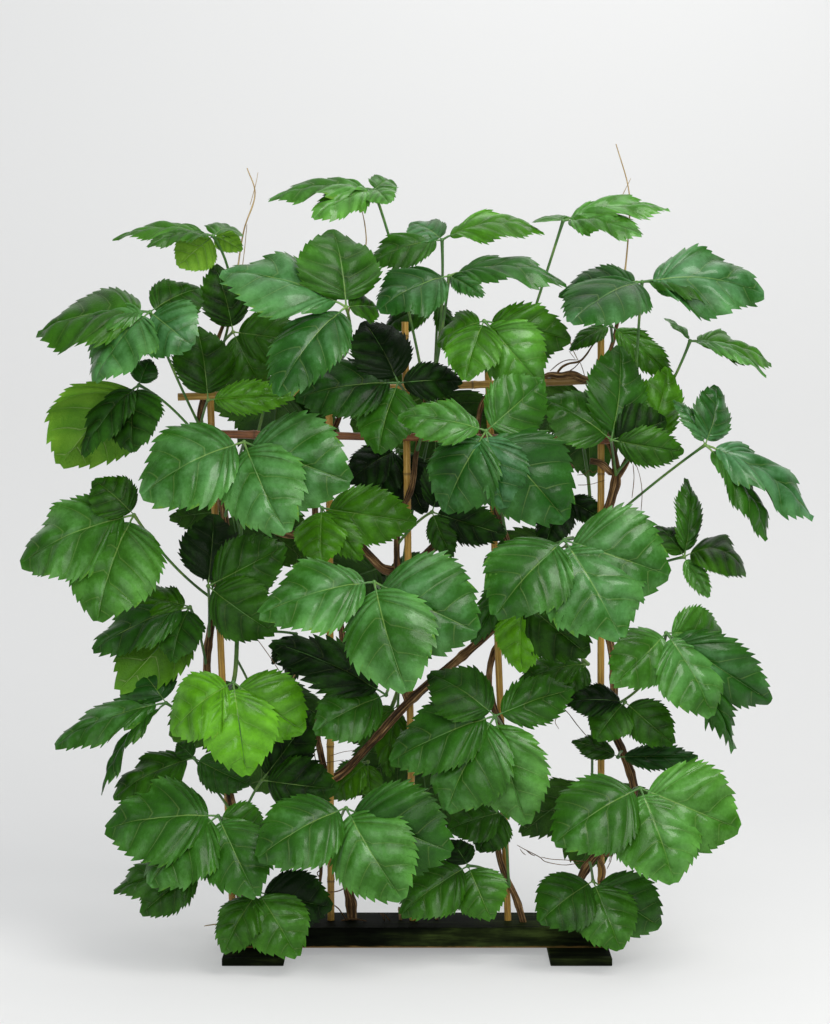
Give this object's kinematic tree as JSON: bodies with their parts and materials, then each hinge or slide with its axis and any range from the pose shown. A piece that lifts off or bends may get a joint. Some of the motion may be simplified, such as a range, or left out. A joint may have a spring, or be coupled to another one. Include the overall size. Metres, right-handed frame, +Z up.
{
  "type": "climbing foliage plant on a bamboo trellis",
  "caption": "Leafy climbing vine with large toothed palmate leaves on a bamboo trellis that stands in a low stained wooden base board with cross feet.",
  "frame": {"origin": "on the floor, under the middle of the bounding box of the whole plant", "axes": "+Z up, +X along the base board to the viewer's right, -Y towards the viewer, which is the front of the plant"},
  "size_m": [1.2094, 0.5638, 1.2631],
  "materials": {
    "board": "dark stain, satin",
    "bamboo": "smooth, satin",
    "bark": "rough bark",
    "leaf": "leathery leaf with a soft sheen",
    "bright_leaf": "young leaf, thin and bright"
  },
  "bodies": {
    "root": {"base_board": "board", "foot_left": "board", "foot_right": "board", "cane_far_left": "bamboo", "cane_left": "bamboo", "cane_middle": "bamboo", "cane_right": "bamboo", "cane_far_right": "bamboo", "rail_upper": "bamboo", "rail_lower": "bamboo", "vine_left": "bark", "vine_middle": "bark", "vine_right": "bark", "vine_far_right": "bark", "leaf_01": "bright_leaf", "leaf_02": "leaf", "leaf_03": "leaf", "leaf_04": "leaf", "leaf_05": "bright_leaf", "leaf_06": "leaf", "leaf_07": "bright_leaf", "leaf_08": "bright_leaf", "leaf_09": "leaf", "leaf_10": "bright_leaf", "leaf_11": "bright_leaf", "leaf_12": "leaf", "leaf_13": "leaf", "leaf_14": "leaf", "leaf_15": "leaf", "leaf_16": "leaf", "leaf_17": "leaf", "leaf_18": "leaf", "leaf_19": "leaf", "leaf_20": "leaf", "leaf_21": "bright_leaf", "leaf_22": "leaf", "leaf_23": "leaf", "leaf_24": "leaf", "leaf_25": "leaf", "leaf_26": "leaf", "leaf_27": "leaf", "leaf_28": "leaf", "leaf_29": "leaf", "leaf_30": "leaf", "leaf_31": "leaf", "leaf_32": "bright_leaf", "leaf_33": "leaf", "leaf_34": "leaf", "leaf_35": "leaf", "leaf_36": "bright_leaf", "leaf_37": "leaf", "leaf_38": "leaf", "leaf_39": "leaf", "leaf_40": "leaf", "leaf_41": "leaf", "leaf_42": "leaf", "leaf_43": "leaf", "shoot_left": "leaf", "shoot_middle": "leaf", "shoot_right": "leaf"}
  },
  "joints": []
}
